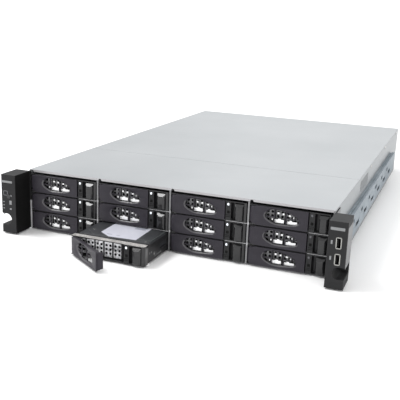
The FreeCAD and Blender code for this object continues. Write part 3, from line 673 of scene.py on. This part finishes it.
def left_details(bm):
    add_box(bm, -240.2, -223.6, EAR - 0.12, EAR + 0.3, 73.9, 77.0, 0.12, 0)      # plain light bar
    frame_loop(bm, -238.6, -231.2, 55.6, 62.4, 1.6, 0.8, EAR - 0.1, EAR + 0.2, 1)
    add_rod(bm, (-226.2, EAR - 0.12, 55.8), 1.5, 0.4, "Y", 20, 0.08, 0)
    for z in (45.4, 40.8, 36.2):
        add_box(bm, -239.2, -236.8, EAR - 0.1, EAR + 0.2, z, z + 1.5, 0.1, 1)
    add_box(bm, -228.4, -225.4, EAR - 0.1, EAR + 0.2, 35.6, 38.0, 0.1, 1)
    add_box(bm, -229.0, -225.0, EAR - 0.05, EAR + 0.2, 43.0, 49.0, 0.1, 2)


ear_part("left_ear_details", left_details, [M["plaque"], M["icon"], M["dark"]])


def right_details(bm):
    add_box(bm, 220.6, 237.6, EAR - 0.12, EAR + 0.3, 74.6, 78.2, 0.12, 0)        # plain light bar
    for z in (59.6, 39.9):
        add_box(bm, 222.1, 224.3, EAR - 0.12, EAR + 0.2, z - 2.4, z + 2.4, 0.2, 0)
    for z in (59.2, 38.8):                                                        # rim of each socket
        frame_loop(bm, 228.0, 235.2, z - 7.3, z + 7.3, 2.0, 0.9, EAR - 0.35, EAR + 0.2, 1)


ear_part("right_ear_details", right_details, [M["plaque"], M["rim"]])


def shelf_edges(bm):
    # painted highlight: light strips on the shelves' front edges between the rows at the latch side, and light marks
    # where they meet the dividers
    for c in range(4):
        for r in (1, 2):
            x, z = 109.0 * (c - 2), 1.5 + 27.2 * r
            add_box(bm, x + 79.0, x + 108.0, -350.6, -348.5, z - 1.0, z - 0.2, 0.25, 0)
            if c:
                add_box(bm, x - 0.6, x + 1.4, -350.5, -349.0, z - 2.6, z + 1.4, 0.8, 0)


ear_part("shelf_edges", shelf_edges, [M["shelf"]])


def side_contacts(bm):
    add_rod(bm, (106.55, 30.0, 9.0), 2.3, 0.3, "X", 20, 0.1)
    for y in (16.0, 21.0):
        add_rod(bm, (106.55, y, 13.0), 1.6, 0.3, "X", 16, 0.1)
    add_box(bm, 106.55, 106.8, 36.0, 52.0, 4.0, 6.0, 0.1)


bm = bmesh.new()
side_contacts(bm)
put("side_contacts_open", bm, [M["contact"]], [w for t, n, w in TRAYS if t == "open"][0], body_with("tray_carrier"))


# ------------------------------------------------------------------ CAD nodes: materials
def paint_light_by_height(key, dark, z_light, z_dark):
    """Painted light: the colour fades to a darker one above a height."""
    nt = M[key].node_tree
    bsdf = [x for x in nt.nodes if x.type == "BSDF_PRINCIPLED"][0]
    source = bsdf.inputs["Base Color"].links[0].from_socket
    geo = nt.nodes.new("ShaderNodeNewGeometry")
    sep = nt.nodes.new("ShaderNodeSeparateXYZ")
    nt.links.new(geo.outputs["Position"], sep.inputs[0])
    mr = nt.nodes.new("ShaderNodeMapRange")
    mr.inputs["From Min"].default_value = z_light
    mr.inputs["From Max"].default_value = z_dark
    nt.links.new(sep.outputs["Z"], mr.inputs["Value"])
    mix = nt.nodes.new("ShaderNodeMix")
    mix.data_type = "RGBA"
    nt.links.new(mr.outputs["Result"], mix.inputs[0])
    nt.links.new(source, mix.inputs[6])
    mix.inputs[7].default_value = (*dark, 1)
    nt.links.new(mix.outputs[2], bsdf.inputs["Base Color"])


# the left hem: painted highlight below 41.5 mm, fading to dark above 43.5 mm as a painted reflection of the dark ear
paint_light_by_height("hemleft", (0.02, 0.02, 0.02), 0.0415, 0.0435)


def assign(node, key):
    o = NODES[node]
    o.data.materials.clear()
    o.data.materials.append(M[key])
    for p in o.data.polygons:
        p.material_index = 0


def parts_of(me):
    """Groups of polygons that share places: the node's separate solids."""
    key = {}
    root = list(range(len(me.vertices)))

    def find(a):
        while root[a] != a:
            root[a] = root[root[a]]
            a = root[a]
        return a

    for v in me.vertices:
        k = (round(v.co.x, 6), round(v.co.y, 6), round(v.co.z, 6))
        if k in key:
            root[find(v.index)] = find(key[k])
        else:
            key[k] = v.index
    for e in me.edges:
        a, b = find(e.vertices[0]), find(e.vertices[1])
        if a != b:
            root[a] = b
    groups = {}
    for p in me.polygons:
        groups.setdefault(find(p.vertices[0]), []).append(p)
    return list(groups.values())


def assign_by(node, keys, rule):
    """Several materials on one node: rule gives the key's index from a solid's low and high corner."""
    me = NODES[node].data
    me.materials.clear()
    for k in keys:
        me.materials.append(M[k])
    for group in parts_of(me):
        pts = [me.vertices[i].co for p in group for i in p.vertices]
        lo = Vector((min(p.x for p in pts), min(p.y for p in pts), min(p.z for p in pts)))
        hi = Vector((max(p.x for p in pts), max(p.y for p in pts), max(p.z for p in pts)))
        i = rule(lo, hi)
        for p in group:
            p.material_index = i


def tray_rule(lo, hi):
    size = hi - lo
    if size.y > 0.15:
        return 0                       # carrier
    if size.y > 0.1:
        return 1                       # drive
    if size.x > 0.05:
        return 2                       # plain plate behind the perforated sheet, near black: painted shade seen through the holes
    return 3                           # screws


for tag, node, origin in TRAYS:
    assign_by(node, ["tray", "cast", "dark", "contact", "gloss"], tray_rule)
    me = NODES[node].data
    x0, y0 = origin.translation.x, origin.translation.y
    world_of = NODES[node].matrix_world
    for p in me.polygons:
        c = world_of @ p.center
        if p.material_index == 0 and c.x - x0 > 0.0995 and c.y - y0 < 0.0094:
            p.material_index = 4
    # the open tray's lip top face gets the painted highlight
    if tag == "open":
        me.materials.append(M["lip_painted_highlight"])
        top = max((world_of @ v.co).z for v in me.vertices)
        for p in me.polygons:
            c = world_of @ p.center
            if p.normal.z > 0.7 and c.z > top - 0.0015 and c.y - y0 < 0.0097:
                p.material_index = 5
# the open tray's CAD screen: near black, painted shade seen through the holes
assign("tray_mesh", "dark")
for node, key in (("chassis_base", "cover"), ("front_cover", "cover"), ("rear_cover", "cover"), ("drive_cage", "cage"),
                  ("backplane", "pcb"), ("fan_wall", "fan"), ("cpu_heatsink", "alu"), ("ear_brackets", "bracket"),
                  ("left_ear_housing", "ear"), ("right_ear_housing", "ear"), ("usb_ports", "nickel"),
                  ("slide_inner_members", "zinc"), ("slide_outer_left", "zinc"), ("slide_outer_right", "zinc"),
                  ("chassis_screws", "nickel"), ("psu_1", "psu"), ("psu_2", "psu"), ("power_button", "gloss"),
                  ("fan_rotor_1", "fan"), ("fan_rotor_2", "fan"), ("fan_rotor_3", "fan")):
    assign(node, key)
assign_by("motherboard", ["pcb", "slot", "nickel"],
          lambda lo, hi: 0 if (hi - lo).x > 0.2 else (2 if (hi - lo).x > 0.05 else 1))
assign("tray_drive", "cast")
# the socket shells are bright at the mouth and dark inside: painted shade in the sockets over their black tongues; the
# left ear's inner side is painted near black as shade
for node, extra, test in (("usb_ports", "dark", lambda c, n: c.y > -0.3861),
                          ("left_ear_housing", "dark", lambda c, n: n.x > 0.7),
                          ("ear_brackets", "ear", lambda c, n: c.x < 0 or abs(n.y) > 0.7 or c.z < 0.027 or c.z > 0.0779)):
    me = NODES[node].data
    me.materials.append(M[extra])
    world_of = NODES[node].matrix_world
    for p in me.polygons:
        if test(world_of @ p.center, world_of.to_3x3() @ p.normal):
            p.material_index = 1
for node in ("chassis_base", "front_cover", "rear_cover"):
    me = NODES[node].data
    me.materials.append(M["side"])
    me.materials.append(M["cage"])
    me.materials.append(M["hem"])
    me.materials.append(M["hemleft"])
    turn = NODES[node].matrix_world.to_3x3()
    world_of = NODES[node].matrix_world
    for p in me.polygons:
        nrm = turn @ p.normal
        c = world_of @ p.center
        if abs(nrm.x) > 0.7:
            p.material_index = 1
        # faces at the front below the top edge: the cage colour, and at the left hem its painted highlight and painted
        # reflection
        if c.y < -0.3485 and c.z < 0.084:
            p.material_index = 4 if c.x < -0.21 and abs(nrm.z) < 0.5 else 2
        elif c.y < -0.3485 and nrm.y < -0.7:
            p.material_index = 3


# ------------------------------------------------------------------ stage, light, camera
def area(name, loc, target, size, power, colour=(1, 1, 1), size_y=None):
    li = bpy.data.lights.new(name, "AREA")
    li.energy = power
    li.color = colour
    li.shape = "RECTANGLE"
    li.size = size
    li.size_y = size_y or size
    ob = bpy.data.objects.new(name, li)
    ob.location = loc
    ob.rotation_mode = "QUATERNION"
    ob.rotation_quaternion = (Vector(target) - Vector(loc)).to_track_quat("-Z", "Y")
    bpy.context.scene.collection.objects.link(ob)
    return ob


bm = bmesh.new()
bmesh.ops.create_grid(bm, x_segments=1, y_segments=1, size=14.0)
floor = object_from("studio_floor", bm, [material("floor_pale", (0.93, 0.93, 0.93), 0.9, vary=0.004, big=1.0, bump=0.0)], smooth=False)
floor.location = (0, 0, LO0[2] - 0.0005)
floor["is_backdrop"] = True

world = bpy.data.worlds.new("studio")
bpy.context.scene.world = world
world.use_nodes = True
world.node_tree.nodes["Background"].inputs[0].default_value = (1.0, 1.0, 1.0, 1)
world.node_tree.nodes["Background"].inputs[1].default_value = 1.12
area("key_top", (-1.40, -0.66, 2.15), (-0.05, -0.1, 0.03), 1.25, 44, size_y=0.8)
area("rim_back", (-0.2, 2.2, 1.8), (0, 0.1, 0.05), 1.8, 12, (0.95, 0.98, 1.0))
area("front_fill", (0.9, -2.6, 0.7), (0, -0.35, 0.05), 1.0, 7)

scene = bpy.context.scene
scene.view_settings.view_transform = "Standard"
cam_data = bpy.data.cameras.new("camera")
cam = bpy.data.objects.new("camera", cam_data)
scene.collection.objects.link(cam)
pitch, yaw, roll = 0.268627734, 0.362118367, 0.0388555322
fwd = Vector((-math.sin(yaw) * math.cos(pitch), math.cos(yaw) * math.cos(pitch), -math.sin(pitch)))
right = Vector((math.cos(yaw), math.sin(yaw), 0))
up = right.cross(fwd)
r2 = right * math.cos(roll) + up * math.sin(roll)
u2 = -right * math.sin(roll) + up * math.cos(roll)
cam_mat = Matrix((( r2.x, u2.x, -fwd.x, 0.352869), (r2.y, u2.y, -fwd.y, -0.819541 - 0.350), (r2.z, u2.z, -fwd.z, 0.318797), (0, 0, 0, 1)))
cam.matrix_world = cam_mat
cam_data.sensor_width = 36.0
cam_data.lens = 698.316 / 400.0 * 36.0
cam_data.clip_start, cam_data.clip_end = 0.01, 60
scene.camera = cam

# ------------------------------------------------------------------ bounds
lo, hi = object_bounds()
